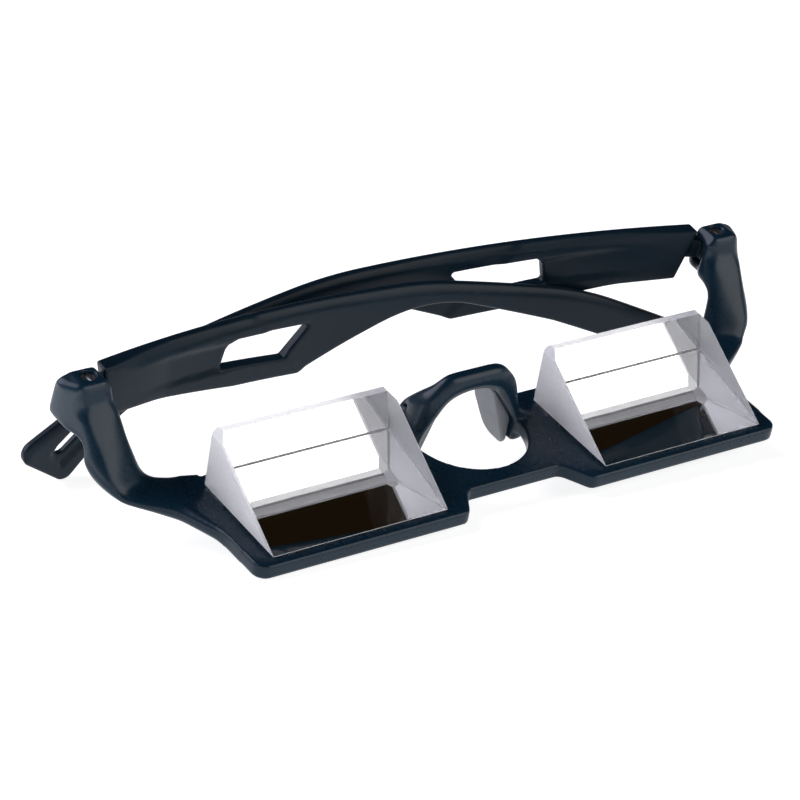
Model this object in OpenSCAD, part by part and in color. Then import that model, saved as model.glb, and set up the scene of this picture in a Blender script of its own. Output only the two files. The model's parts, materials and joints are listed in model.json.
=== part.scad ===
// Belay glasses: a flat front with two periscope prisms, a nose bridge and two folding temples.
// Every sub-part is drawn as it is worn: X towards the wearer's left, Y backwards, Z up, and Z = 0
// on the top of the flat front. at_rest() then folds nothing: it only tips the finished glasses on
// to the table, where they stand on a front corner and on the two temple tips.

/* [Prisms] */
// Distance between the middles of the two prisms
pupil_distance = 64; // [60:0.5:68]
// Length of a prism across the eye
prism_l = 33; // [26:0.5:34]
// Depth of a prism from its sharp front edge to its upright back face
prism_d = 20.5; // [17:0.5:21]
// Angle of the slanted face above the mirrored face
prism_angle = 30; // [26:0.5:32]
// Width of the flat that is ground along the top edge
prism_land = 1.6; // [0.8:0.1:3]
// How far the ground corner reaches down and along at the top ends
prism_corner = 1.2; // [0.5:0.1:2]
// Thickness of the silvering with its backing paint
mirror_t = 0.12; // [0.05:0.01:0.3]
// Thickness of the adhesive film under a prism
bond_t = 0.14; // [0.05:0.01:0.3]
// How far the silvering and the adhesive stay inside the prism's edge
bond_inset = 0.6; // [0.2:0.1:2]

/* [Flat front] */
// Thickness of the flat front
plate_t = 2.6; // [2:0.1:4]
// Width of the flat front over the two prisms
plate_w = 103; // [100:0.5:110]
// Rim in front of the prisms
front_rim = 1.4; // [0.8:0.1:4]
// Rim behind the prisms
back_rim = 3.3; // [2:0.1:6]
// Rounding of the two outer front corners
plate_corner_r = 2.4; // [0.5:0.1:5]
// Half width of the notch between the prisms at its mouth
notch_half_w = 12.7; // [11.5:0.1:13.5]
// Depth of that notch
notch_d = 5.1; // [2:0.1:6]

/* [Nose opening and bridge] */
// Half width of the nose opening
nose_half_w = 10; // [8:0.1:10.5]
// Width of the strip that is left between the notch and the nose opening
nose_strip = 3.4; // [2.5:0.1:6]
// Where the front face of the bridge stands, behind the front edge of the prisms
bridge_y = 17; // [15:0.1:19]
// Height of the crown of the bridge above the flat front
bridge_h = 11.5; // [9:0.1:16]
// Thickness of the crown
crown_t = 3.7; // [2:0.1:4.5]
// Depth of the crown from front to back
crown_d = 2.6; // [2.5:0.1:5]
// Depth of the bridge legs from front to back
leg_d = 7.4; // [5:0.1:8]
// Thickness of the bridge legs
leg_t = 2.1; // [1.5:0.1:3]
// How far the bridge legs reach below the top of the flat front
leg_drop = 4.8; // [3:0.1:5.5]

/* [Nose pads] */
// Height of a nose pad
pad_h = 11.8; // [9:0.1:14]
// Depth of a nose pad from front to back
pad_d = 7; // [5:0.1:8]
// How far a nose pad reaches below the top of the flat front
pad_drop = 6; // [4:0.1:7]
// Thickness of a nose pad at its lower edge
pad_foot_t = 0.6; // [0.4:0.1:1.2]
// Depth of the narrow upper end of a nose pad
pad_top_d = 4.2; // [3:0.1:5]
// Thickness of a nose pad at its upper edge
pad_t = 0.5; // [0.4:0.1:1]
// Diameter of the peg that holds a pad in its leg
peg_d = 1; // [0.8:0.1:2]
// Clearance round the peg
peg_gap = 0.03; // [0.01:0.01:0.1]

/* [End lugs and hinges] */
// Distance between the two hinge axes
hinge_w = 125.4; // [122:0.2:130]
// Distance of the hinge axes behind the front edge of the prisms
hinge_y = 34.9; // [33:0.1:38]
// Height of the top of the lugs above the flat front
lug_top = 15.4; // [14:0.1:18]
// Height of a hinge block
lug_h = 8; // [7.5:0.1:9]
// Plastic between the hinge axis and the outer side of the lug
lug_outer = 4.6; // [4:0.1:6]
// Plastic between the hinge axis and the back of the lug
lug_back = 2; // [1.9:0.05:2.3]
// How much further back the lower edge of that face lies
lug_lean = 1.6; // [0:0.1:2]
// Thickness of the upper ear of a lug
upper_ear = 2; // [1.6:0.1:2.6]
// Height of the tongue of a temple, between the ears
tongue_h = 4.1; // [3:0.1:4.3]
// Radius of the eye of the tongue
eye_r = 2.4; // [2.2:0.1:2.9]
// Width of the sloping edge between the top of a lug and its outer side
lug_slope_w = 2.6; // [1:0.1:3]
// Height of that sloping edge
lug_slope_h = 1; // [0.5:0.1:2]
// Clearance above and below the tongue
ear_gap = 0.05; // [0.02:0.01:0.15]
// Clearance round the eye of the tongue
eye_gap = 0.3; // [0.2:0.05:0.5]
// Shank diameter of a hinge screw
screw_d = 1.6; // [1.2:0.1:2]
// Head diameter of a hinge screw
screw_head_d = 2.6; // [2.2:0.1:3]
// Height of the head of a hinge screw
screw_head_h = 0.8; // [0.5:0.1:1]
// How deep the head lies below the top of the lug
screw_recess = 0.6; // [0.3:0.1:0.8]
// Running clearance of the tongue on the screw, on the radius
hinge_gap = 0.05; // [0.02:0.01:0.1]
// Diameter of the threaded insert in the lower ear
insert_d = 2.8; // [2.2:0.1:3.2]
// Length of the threaded insert
insert_h = 1.5; // [1:0.1:1.6]

/* [Temples] */
// Straight distance from the hinge axis to the end of a temple
temple_l = 129.5; // [120:0.5:140]
// How far the middle of a temple bows outwards
temple_bow = 9.2; // [4:0.1:14]
// Thickness of a temple at the hinge end
temple_root_t = 2.3; // [2:0.1:2.6]
// Thickness of a temple at its tip
temple_tip_t = 1.8; // [1.6:0.1:1.9]
// Height of a temple at the hinge end
temple_root_h = 9.6; // [8:0.1:11]
// Height of a temple over the window, where it is deepest
temple_belly_h = 13.3; // [12:0.1:15]
// Height of a temple at its waist
temple_waist_h = 4.9; // [4:0.1:7]
// Height of the paddle at the end of a temple
paddle_h = 11.8; // [10:0.1:14]
// How far the end of the temple drops below its waist line
temple_drop = 15.1; // [10:0.1:18]
// Clear height of the window in a temple
window_h = 5.4; // [4.6:0.1:7]
// Length of the window along its lower edge
window_l = 13.4; // [8:0.1:14]
// Length of the cord slot in the paddle
slot_l = 8; // [5:0.1:9]
// Width of the cord slot
slot_w = 2.4; // [1.5:0.1:3.5]

/* [Pose] */
// Folding angle of the wearer's left temple, from pointing straight back
fold_left = 84.8; // [84:0.1:85]
// Folding angle of the wearer's right temple, which lies in front of the left one
fold_right = 90.5; // [90.4:0.1:91]

/* [Hidden] */
$fn = 72;

NAVY = [0.11, 0.17, 0.24];
PAD_GREY = [0.36, 0.39, 0.43];
GLASS = [0.85, 0.9, 0.92, 0.5];
SILVER = [0.2, 0.2, 0.22];
BOND = [0.75, 0.75, 0.7];
STEEL = [0.6, 0.6, 0.62];
BRASS = [0.72, 0.58, 0.3];

// Overshoot of every cutting solid past the face that it opens
over = 1;
arc_steps = 6;

hinge_x = hinge_w / 2;
plate_half_w = plate_w / 2;
plate_back = prism_d + back_rim;
seat_z = mirror_t + bond_t;
prism_top_y = prism_d - prism_land;
prism_h = prism_top_y * tan(prism_angle);
nose_front = notch_d - front_rim + nose_strip;
lug_bottom = lug_top - lug_h;
slot_top = lug_top - upper_ear;
slot_bottom = slot_top - tongue_h - 2 * ear_gap;
screw_head_top = lug_top - screw_recess;
screw_head_bottom = screw_head_top - screw_head_h;
insert_bottom = slot_bottom - ear_gap - insert_h;
slot_wall = eye_r + eye_gap;
tongue_front = 0.9;
lug_inner = eye_r + 0.4;

// Corner points [u, v, radius] turned into an outline with rounded corners
function unit(a) = a / norm(a);
function corner_arc(a, b, c, r) =
    let (
        to_a = unit([a[0] - b[0], a[1] - b[1]]),
        to_c = unit([c[0] - b[0], c[1] - b[1]]),
        half = acos(max(-1, min(1, to_a * to_c))) / 2,
        middle = unit(to_a + to_c),
        centre = [b[0], b[1]] + middle * r / sin(half),
        start = [b[0], b[1]] + to_a * r / tan(half) - centre,
        turn = sign(to_a[0] * to_c[1] - to_a[1] * to_c[0]) * (180 - 2 * half)
    )
    [for (i = [0 : arc_steps])
        let (t = -turn * i / arc_steps)
        centre + [start[0] * cos(t) - start[1] * sin(t), start[0] * sin(t) + start[1] * cos(t)]];
function rounded(p) =
    [for (i = [0 : len(p) - 1])
        let (a = p[(i + len(p) - 1) % len(p)], b = p[i], c = p[(i + 1) % len(p)])
        each (b[2] > 0 ? corner_arc(a, b, c, b[2]) : [[b[0], b[1]]])];
function arc_centre(a, b, c, r) =
    let (
        to_a = unit([a[0] - b[0], a[1] - b[1]]),
        to_c = unit([c[0] - b[0], c[1] - b[1]]),
        half = acos(to_a * to_c) / 2
    )
    [b[0], b[1]] + unit(to_a + to_c) * r / sin(half);

// An outline in Y and Z, drawn from x0 to x1
module side_solid(outline, x0, x1) {
    translate([x0, 0, 0])
        rotate([90, 0, 90])
            linear_extrude(x1 - x0)
                polygon(outline);
}

// An outline in X and Z, drawn from y0 to y1
module front_solid(outline, y0, y1) {
    translate([0, y1, 0])
        rotate([90, 0, 0])
            linear_extrude(y1 - y0)
                polygon(outline);
}

module both_sides() {
    children();
    mirror([1, 0, 0]) children();
}

// Flat front

plate_outline = rounded([
    [plate_half_w, -front_rim, plate_corner_r],
    [plate_half_w + 0.2, 9, 12],
    [plate_half_w + 4, 18.2, 4],
    [plate_half_w + 5.6, plate_back, 2],
    [plate_half_w - 2, plate_back - 0.9, 6],
    [plate_half_w - 9, plate_back, 6],
    [nose_half_w, plate_back, 0.6],
    [nose_half_w, nose_front + nose_half_w, 0],
    [0, nose_front + nose_half_w, 0],
    [0, notch_d - front_rim, 0],
    [notch_half_w - 3.4, notch_d - front_rim, 1.6],
    [notch_half_w - 0.4, -front_rim, 1.6]]);

module plate() {
    difference() {
        both_sides()
            translate([0, 0, -plate_t])
                linear_extrude(plate_t)
                    polygon(plate_outline);
        translate([0, nose_front + nose_half_w, -plate_t - over])
            cylinder(h = plate_t + 2 * over, r = nose_half_w);
    }
}

// Bridge over the nose: the front view and the side view, crossed

bridge_outer = [
    [nose_half_w + leg_t - 0.3, -leg_drop, 0.8],
    [nose_half_w + leg_t - 0.1, -0.6, 0],
    [nose_half_w + 3.4, -0.6, 0],
    [nose_half_w + 3.4, 0, 0],
    [nose_half_w + leg_t - 1.5, 1.4, 3],
    [nose_half_w - 1.3, bridge_h - 3.5, 5],
    [nose_half_w - 4.6, bridge_h, 3]];
bridge_inner = [
    [1.9, bridge_h - crown_t, 2.5],
    [nose_half_w - 5.2, bridge_h - crown_t - 0.9, 3],
    [nose_half_w - 0.2, -0.4, 2],
    [nose_half_w - 0.2, -leg_drop, 0.4]];
bridge_front = concat(
    rounded(concat(bridge_outer, [[0, bridge_h, 0], [0, bridge_h - crown_t, 0]], bridge_inner)));
bridge_side = rounded([
    [bridge_y, -leg_drop, 1.5],
    [bridge_y + leg_d, -leg_drop, 2.5],
    [bridge_y + leg_d, bridge_h - 7.6, 2.5],
    [bridge_y + crown_d, bridge_h - 2, 2],
    [bridge_y + crown_d, bridge_h + over, 0],
    [bridge_y, bridge_h + over, 0]]);

module bridge() {
    intersection() {
        both_sides()
            front_solid(bridge_front, bridge_y - over, bridge_y + leg_d + over);
        side_solid(bridge_side, -2 * nose_half_w, 2 * nose_half_w);
    }
}

// End lug of the wearer's left: the plan view and the side view, crossed

lug_plan = rounded([
    [plate_half_w - 4, plate_back, 0],
    [plate_half_w - 4, plate_back - 6, 0],
    [plate_half_w - 0.2, 9, 0],
    [plate_half_w + 2.9, 17, 8],
    [hinge_x + 0.8, hinge_y - 12.9, 5],
    [hinge_x + 3.8, hinge_y - 8.8, 6],
    [hinge_x + lug_outer, hinge_y - 3, 4],
    [hinge_x + lug_outer, hinge_y + lug_back + lug_lean, 0.8],
    [hinge_x - lug_inner, hinge_y + lug_back + lug_lean, 2.4],
    [hinge_x - lug_inner, hinge_y - 0.5, 1],
    [hinge_x - lug_inner - 1.2, hinge_y - 2, 1],
    [hinge_x - lug_inner - 1.5, hinge_y - 4.5, 4],
    [hinge_x - 6.9, hinge_y - 8.8, 5]]);
lug_side = rounded([
    [8, -plate_t, 0],
    [hinge_y - 12.6, -plate_t, 3],
    [hinge_y - 7.6, -0.6, 3],
    [hinge_y - 5.6, lug_bottom, 2.4],
    [hinge_y + lug_back + lug_lean, lug_bottom, 0.5],
    [hinge_y + lug_back, lug_top, 0.5],
    [hinge_y - 3, lug_top, 1.8],
    [hinge_y - 3.4, lug_top - 3.2, 3],
    [hinge_y - 10.9, 2.9, 0],
    [hinge_y - 12.7, 0, 3],
    [8, 0, 0]]);
lug_front = rounded([
    [plate_half_w - 20, -plate_t, 0],
    [hinge_x - 8, -plate_t, 3],
    [hinge_x - 0.4, -0.4, 4],
    [hinge_x + 3.4, 3.2, 6],
    [hinge_x + lug_outer, lug_bottom, 1],
    [hinge_x + lug_outer, lug_top - lug_slope_h, 0.5],
    [hinge_x + lug_outer - lug_slope_w, lug_top, 0.5],
    [hinge_x - lug_inner + 0.9, lug_top, 0.5],
    [hinge_x - lug_inner - 0.3, lug_top - 1.6, 0.8],
    [hinge_x - lug_inner - 1.3, lug_bottom + 1, 5],
    [hinge_x - 6, 0, 3],
    [plate_half_w - 20, 0, 0]]);

// The ridge down the front of the neck: the front is planed off to both sides of it
ridge = [hinge_x + 1.9, hinge_y - 9.3, 6];
module ridge_cut(turn, lean, z0, z1) {
    intersection() {
        translate(ridge)
            rotate([0, 0, turn])
                rotate([-lean, 0, 0])
                    translate([-40, -40, -40])
                        cube([80, 40, 80]);
        translate([0, 0, z0])
            cube([2 * hinge_x, 2 * hinge_y, z1 - z0]);
    }
}

module lug() {
    difference() {
        intersection() {
            linear_extrude(2 * (lug_top + plate_t), center = true)
                polygon(lug_plan);
            side_solid(lug_side, hinge_x - 20, hinge_x + 20);
            front_solid(lug_front, 0, 2 * hinge_y);
        }
        ridge_cut(-20, 33, 0.2, slot_top);
        ridge_cut(66, 12, 0.2, 2 * lug_top);
        translate([hinge_x, hinge_y, slot_bottom])
            hinge_slot();
        translate([hinge_x, hinge_y, 0])
            screw_holes();
    }
}

// Room for the tongue, open to the back and to the inner side
module hinge_slot() {
    h = slot_top - slot_bottom;
    cylinder(h = h, r = slot_wall);
    translate([-slot_wall, 0, 0])
        cube([2 * slot_wall, lug_back + lug_lean + over, h]);
    translate([-hinge_x / 2, -tongue_front - eye_gap, 0])
        cube([hinge_x / 2, tongue_front + eye_gap + lug_back + lug_lean + over, h]);
}

module screw_holes() {
    translate([0, 0, screw_head_bottom])
        cylinder(h = lug_top, d = screw_head_d + 2 * hinge_gap);
    translate([0, 0, slot_top - over])
        cylinder(h = upper_ear + over, d = screw_d + 2 * hinge_gap);
    translate([0, 0, insert_bottom])
        cylinder(h = lug_top - insert_bottom - upper_ear, d = insert_d);
}

module frame_front() {
    color(NAVY)
        difference() {
            union() {
                plate();
                bridge();
                both_sides() lug();
            }
            both_sides() peg_hole();
        }
}

// Prisms, with their silvering and their adhesive film

prism_profile = [
    [0, seat_z],
    [prism_d, seat_z],
    [prism_d, seat_z + prism_h],
    [prism_top_y, seat_z + prism_h]];

// Wedge that is ground off a top end corner of a prism
module prism_corner_cut(x) {
    translate([x, prism_d, seat_z + prism_h])
        rotate([0, 45, 0])
            cube([prism_corner * sqrt(2), 2 * prism_land + over, prism_corner * sqrt(2)],
                 center = true);
}

module prism_at(side) {
    x = side * pupil_distance / 2;
    color(GLASS)
        difference() {
            side_solid(prism_profile, x - prism_l / 2, x + prism_l / 2);
            prism_corner_cut(x - prism_l / 2);
            prism_corner_cut(x + prism_l / 2);
        }
}

module film_at(side, z, t) {
    translate([side * pupil_distance / 2 - prism_l / 2 + bond_inset, bond_inset, z])
        cube([prism_l - 2 * bond_inset, prism_d - 2 * bond_inset, t]);
}

module mirror_coating_at(side) {
    color(SILVER) film_at(side, bond_t, mirror_t);
}

module prism_adhesive_at(side) {
    color(BOND) film_at(side, 0, bond_t);
}

// Nose pad of the wearer's left leg, with the peg that snaps into the leg

pad_top = pad_h - pad_drop;
peg_y = bridge_y + 5.6;
peg_z = 3.9;
pad_back_x = nose_half_w - 0.2;
// Places where the leg's inner face lies, from the crown down
leg_face = [
    [nose_half_w - 5.2, bridge_h - crown_t - 0.9],
    [pad_back_x, -0.4],
    [pad_back_x, -leg_drop]];
leg_slope = (leg_face[1][0] - leg_face[0][0]) / (leg_face[0][1] - leg_face[1][1]);
function leg_inner_x(z) = min(pad_back_x, leg_face[0][0] + (leg_face[0][1] - z) * leg_slope);
pad_clear = 0.05;
pad_y = bridge_y + 1.5;
pad_front = rounded([
    [leg_inner_x(pad_top) - pad_clear, pad_top, 0],
    [pad_back_x - pad_clear, -0.4, 2],
    [pad_back_x - pad_clear, -pad_drop, 0.3],
    [pad_back_x - pad_foot_t, -pad_drop, 0.3],
    [leg_inner_x(pad_top) - pad_t, pad_top, 0.2]]);
pad_side = rounded([
    [pad_y, pad_top + over, 0],
    [pad_y, -pad_drop, 1.6],
    [pad_y + 0.8 * pad_d, -pad_drop, 3],
    [pad_y + pad_d, 1.5, 3],
    [pad_y + pad_top_d, pad_top, 2.5],
    [pad_y + pad_top_d, pad_top + over, 0]]);

module nose_pad() {
    color(PAD_GREY)
        union() {
            intersection() {
                front_solid(pad_front, pad_y - over, pad_y + pad_d + over);
                side_solid(pad_side, 0, 2 * nose_half_w);
            }
            translate([leg_inner_x(peg_z) - 0.6, peg_y, peg_z])
                rotate([0, 90, 0])
                    cylinder(h = leg_t + 0.5, d = peg_d);
        }
}

module peg_hole() {
    translate([leg_inner_x(peg_z) - over, peg_y, peg_z])
        rotate([0, 90, 0])
            cylinder(h = leg_t + 3, d = peg_d + 2 * peg_gap);
}

// Hinge hardware of the wearer's left

module hinge_screw() {
    color(STEEL)
        translate([hinge_x, hinge_y, 0])
            difference() {
                union() {
                    translate([0, 0, screw_head_bottom])
                        cylinder(h = screw_head_h, d = screw_head_d);
                    translate([0, 0, insert_bottom + 0.2])
                        cylinder(h = screw_head_bottom - insert_bottom, d = screw_d);
                }
                translate([0, 0, screw_head_top])
                    cube([0.4, screw_head_d + over, screw_head_h], center = true);
            }
}

module thread_insert() {
    color(BRASS)
        translate([hinge_x, hinge_y, insert_bottom])
            difference() {
                cylinder(h = insert_h, d = insert_d);
                translate([0, 0, -over])
                    cylinder(h = insert_h + 2 * over, d = screw_d);
            }
}

// Temple, drawn at the hinge axis, pointing straight back, with its inner side towards -X

bow_r = (temple_l * temple_l / 4 + temple_bow * temple_bow) / (2 * temple_bow);
end_back = 3.2;
temple_top = lug_top - 0.2;
waist_y = temple_l * 0.55;
waist_top = temple_top - 4.4;
belly_y = temple_l * 0.36;
belly_bottom = temple_top - 2.9 - temple_belly_h;
hump_z = waist_top - temple_waist_h;
paddle_low = waist_top - temple_drop - paddle_h;
paddle_y = temple_l - 10;
paddle_low_r = 2.2;

temple_corners = [
    [end_back, temple_top, 0.4],
    [waist_y, waist_top, 90],
    [temple_l * 0.8, waist_top - 0.45 * temple_drop, 70],
    [temple_l + 0.6, waist_top - 1.22 * temple_drop, 2],
    [paddle_y, paddle_low, paddle_low_r],
    [temple_l * 0.845, hump_z - 11.9, 12],
    [temple_l * 0.755, hump_z - 6.9, 40],
    [waist_y, hump_z + 1.9, 28],
    [belly_y, belly_bottom, 1.4],
    [temple_l * 0.25, belly_bottom + 1.8, 14],
    [temple_l * 0.12, temple_top - temple_root_h - 1.2, 20],
    [end_back + 2.5, temple_top - temple_root_h, 0.6]];
temple_side = rounded(temple_corners);

function bow_x(y) = sqrt(bow_r * bow_r - pow(y - temple_l / 2, 2)) - (bow_r - temple_bow);

// The outer side is an arc about a centre nearer to the hinge, which thins the temple to its tip
temple_t = (temple_root_t + temple_tip_t) / 2;
taper = (temple_root_t - temple_tip_t) * bow_r / temple_l;

// Length of the straight root, and how far its end sinks into the arc
root_l = 20;
root_sink = 0.15;

module temple_band() {
    h = 4 * lug_top;
    difference() {
        translate([temple_bow - bow_r, temple_l / 2 - taper, -h / 2])
            cylinder(h = h, r = bow_r + temple_t, $fn = 360);
        translate([temple_bow - bow_r, temple_l / 2, -h])
            cylinder(h = 2 * h, r = bow_r, $fn = 360);
        translate([-4 * bow_r - 6, -2 * bow_r, -2 * h])
            cube([4 * bow_r, 4 * bow_r, 4 * h]);
    }
    linear_extrude(h, center = true)
        polygon([[0.2, end_back - 1], [bow_x(end_back), end_back - 1],
                 [bow_x(root_l) + temple_t / 2, root_l], [bow_x(root_l) + root_sink, root_l]]);
}

window_y = 29.2;
window_z = belly_bottom + 6.2;
window_slope = 0.155;
window_outline = rounded([
    [window_y, window_z, 0.5],
    [window_y + window_l, window_z - window_slope * window_l, 0.7],
    [window_y + window_l + 5, window_z - window_slope * window_l + window_h, 0.5],
    [window_y + 2.2, window_z + window_h - 0.5, 0.8],
    [window_y + 0.8, window_z + window_h - 2, 0.8]]);

slot_y = temple_l - 10.9;
slot_z = paddle_low + 8.9;
slot_angle = -38;

module cord_slot() {
    translate([-temple_bow, slot_y, slot_z])
        rotate([slot_angle, 0, 0])
            for (end = [-1, 1])
                translate([0, end * (slot_l - slot_w) / 2, 0])
                    rotate([0, 90, 0])
                        cylinder(h = 3 * temple_bow, d = slot_w);
    translate([-temple_bow, slot_y, slot_z])
        rotate([slot_angle, 0, 0])
            translate([0, -(slot_l - slot_w) / 2, -slot_w / 2])
                cube([3 * temple_bow, slot_l - slot_w, slot_w]);
}

module tongue() {
    arm = 2.5;
    translate([0, 0, slot_bottom + ear_gap])
        difference() {
            union() {
                cylinder(h = tongue_h, r = eye_r);
                linear_extrude(tongue_h)
                    polygon([[-tongue_front, 0], [eye_r, 0], [bow_x(end_back + arm) + temple_t, end_back + arm],
                             [bow_x(end_back + arm), end_back + arm], [bow_x(end_back), end_back]]);
            }
            translate([0, 0, -over])
                cylinder(h = tongue_h + 2 * over, d = screw_d + 2 * hinge_gap);
        }
}

module temple() {
    color(NAVY)
        union() {
            difference() {
                intersection() {
                    temple_band();
                    side_solid(temple_side, -40, 40);
                }
                side_solid(window_outline, -40, 40);
                cord_slot();
            }
            tongue();
        }
}

module temple_left() {
    translate([hinge_x, hinge_y, 0])
        rotate([0, 0, fold_left])
            temple();
}

module temple_right() {
    mirror([1, 0, 0])
        translate([hinge_x, hinge_y, 0])
            rotate([0, 0, fold_right])
                temple();
}

// The table under the folded glasses goes through a front corner and both temple tips

tip_corner = arc_centre(temple_corners[3], temple_corners[4], temple_corners[5], paddle_low_r);
tip_y = tip_corner[0];
tip_z = tip_corner[1] - paddle_low_r;
tip_x = bow_x(tip_y);
function folded(side, fold) =
    [side * (hinge_x + tip_x * cos(fold) - tip_y * sin(fold)),
     hinge_y + tip_x * sin(fold) + tip_y * cos(fold),
     tip_z];
corner_foot = [-(plate_half_w - plate_corner_r), -front_rim, -plate_t];
left_foot = folded(1, fold_left);
right_foot = folded(-1, fold_right);
table_normal = cross(right_foot - corner_foot, left_foot - corner_foot);
table_tilt = atan2(table_normal[1], table_normal[2]);
table_roll = -atan2(table_normal[0], norm([table_normal[1], table_normal[2]]));
front_edge = [0, -front_rim, -plate_t];

function turn_x(p, a) = [p[0], p[1] * cos(a) - p[2] * sin(a), p[1] * sin(a) + p[2] * cos(a)];
function turn_y(p, a) = [p[0] * cos(a) + p[2] * sin(a), p[1], -p[0] * sin(a) + p[2] * cos(a)];
function tipped(p) = turn_y(turn_x(p, table_tilt), table_roll);
rest_shift = [-tipped(front_edge)[0], -tipped(front_edge)[1], -tipped(corner_foot)[2]];

module at_rest() {
    translate(rest_shift)
        rotate([table_tilt, table_roll, 0])
            children();
}

at_rest() frame_front();
at_rest() prism_at(1);  // prism_left
at_rest() prism_at(-1);  // prism_right
at_rest() mirror_coating_at(1);  // mirror_coating_left
at_rest() mirror_coating_at(-1);  // mirror_coating_right
at_rest() prism_adhesive_at(1);  // prism_adhesive_left
at_rest() prism_adhesive_at(-1);  // prism_adhesive_right
at_rest() nose_pad();  // nose_pad_left
at_rest() mirror([1, 0, 0]) nose_pad();  // nose_pad_right
at_rest() hinge_screw();  // hinge_screw_left
at_rest() mirror([1, 0, 0]) hinge_screw();  // hinge_screw_right
at_rest() thread_insert();  // thread_insert_left
at_rest() mirror([1, 0, 0]) thread_insert();  // thread_insert_right
at_rest() temple_left();
at_rest() temple_right();
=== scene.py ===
import json
import math

import bmesh
import bpy
import numpy as np
from mathutils import Matrix, Vector
from mathutils.geometry import delaunay_2d_cdt


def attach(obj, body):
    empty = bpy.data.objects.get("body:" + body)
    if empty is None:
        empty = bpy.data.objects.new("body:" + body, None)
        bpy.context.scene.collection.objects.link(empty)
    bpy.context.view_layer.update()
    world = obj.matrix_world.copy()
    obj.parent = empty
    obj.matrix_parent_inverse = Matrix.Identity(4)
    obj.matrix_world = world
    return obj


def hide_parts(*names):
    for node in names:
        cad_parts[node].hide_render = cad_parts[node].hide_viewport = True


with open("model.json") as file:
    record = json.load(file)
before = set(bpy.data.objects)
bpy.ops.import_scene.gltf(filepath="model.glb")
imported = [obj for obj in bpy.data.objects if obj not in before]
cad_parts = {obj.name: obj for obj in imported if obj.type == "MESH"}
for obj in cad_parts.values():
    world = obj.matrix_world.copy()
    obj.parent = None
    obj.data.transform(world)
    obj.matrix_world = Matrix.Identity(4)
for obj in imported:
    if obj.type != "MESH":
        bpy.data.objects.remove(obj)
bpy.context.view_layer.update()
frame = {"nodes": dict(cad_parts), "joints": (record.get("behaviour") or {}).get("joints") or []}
nodes = frame["nodes"]

# All pieces are shaped as the glasses are worn, in millimetres: X to the wearer's left, Y to the back,
# Z up, and Z = 0 on the top of the flat front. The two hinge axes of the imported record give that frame.
MM = 0.001
HINGE = Vector((62.7, 34.9, 11.3))
# The chord of an open temple leans in by this many degrees
OPEN_SPLAY = 6
BODY = {"front": "front", "left": "left_temple", "right": "right_temple"}

# The prisms, as the source has them
PRISM_MIDDLE_X = 32.0
PRISM_LENGTH = 33.0
PRISM_DEPTH = 20.5
PRISM_SLANT = math.radians(30)
PRISM_TOP = 10.912
PRISM_SEAT = 0.26
PRISM_CORNER = 1.2

# The flat front
PLATE_BOTTOM = -2.6
PLATE_REACH = 50.0


def worn_frame():
    """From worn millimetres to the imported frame's metres, read from the two hinge joints."""
    joints = {j["child"]: j for j in frame["joints"]}
    at_left = Vector(joints[BODY["left"]]["pos_m"])
    at_right = Vector(joints[BODY["right"]]["pos_m"])
    across = (at_left - at_right).normalized()
    up = Vector(joints[BODY["right"]]["axis"]).normalized()
    back = up.cross(across).normalized()
    across = back.cross(up)
    origin = (at_left + at_right) / 2 - back * HINGE.y * MM - up * HINGE.z * MM
    turn = Matrix((across, back, up)).transposed() * MM
    return Matrix.Translation(origin) @ turn.to_4x4()


def unfolded_frame(side):
    """From a temple drawn straight back from its own hinge axis, for the wearer's left, to metres."""
    joint = next(j for j in frame["joints"] if j["child"] == BODY[side])
    fold = math.radians(joint["range_deg"][1] + OPEN_SPLAY)
    own = Matrix.Translation((HINGE.x, HINGE.y, 0)) @ Matrix.Rotation(fold, 4, "Z")
    if side == "right":
        own = Matrix.Diagonal((-1, 1, 1, 1)) @ own
    return WORN @ own


WORN = worn_frame()


# Meshes

def points_of(mesh):
    co = np.empty(len(mesh.vertices) * 3)
    mesh.vertices.foreach_get("co", co)
    return co.reshape(-1, 3)


def set_points(mesh, co):
    mesh.vertices.foreach_set("co", np.ascontiguousarray(co, np.float32).ravel())
    mesh.update()


def edges_of(mesh):
    ends = np.empty(len(mesh.edges) * 2, np.int64)
    mesh.edges.foreach_get("vertices", ends)
    return ends.reshape(-1, 2)


def node_copy(node, to_local):
    """A CAD node's mesh in its local frame, with its loose triangles merged."""
    mesh = nodes[node].data.copy()
    mesh.materials.clear()
    mesh.transform(to_local)
    bm = bmesh.new()
    bm.from_mesh(mesh)
    bmesh.ops.remove_doubles(bm, verts=bm.verts, dist=0.002)
    bm.to_mesh(mesh)
    bm.free()
    return mesh


def remeshed(mesh, voxel):
    """The same solid in even small faces."""
    return evaluated(mesh, "REMESH", mode="VOXEL", voxel_size=voxel)


def softened(field, ends, steps, pull):
    """A field on the points of a mesh, spread along its edges step by step."""
    used, local = np.unique(ends[(pull[ends] > 0).any(1)], return_inverse=True)
    near, far = local.reshape(-1, 2).T
    part, pull, count = field[used], pull[used][:, None], len(used)
    share = (np.bincount(near, minlength=count) + np.bincount(far, minlength=count)).clip(1)[:, None]
    total = np.empty_like(part)
    for _ in range(steps):
        for axis in range(part.shape[1]):
            column = part[:, axis]
            total[:, axis] = np.bincount(near, column[far], count) + np.bincount(far, column[near], count)
        part += (total / share - part) * pull
    field = field.copy()
    field[used] = part
    return field


def relax(mesh, steps, weight=1.0, keep_size=False):
    """Rounds the edges: each point moves towards the middle of its neighbours, by its own weight."""
    co, ends = points_of(mesh), edges_of(mesh)
    pull = np.full(len(co), 0.5 * weight)
    rounded_co = softened(co, ends, steps, pull)
    if keep_size:
        rounded_co += softened(co - rounded_co, ends, steps, pull)
    set_points(mesh, rounded_co)


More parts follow.
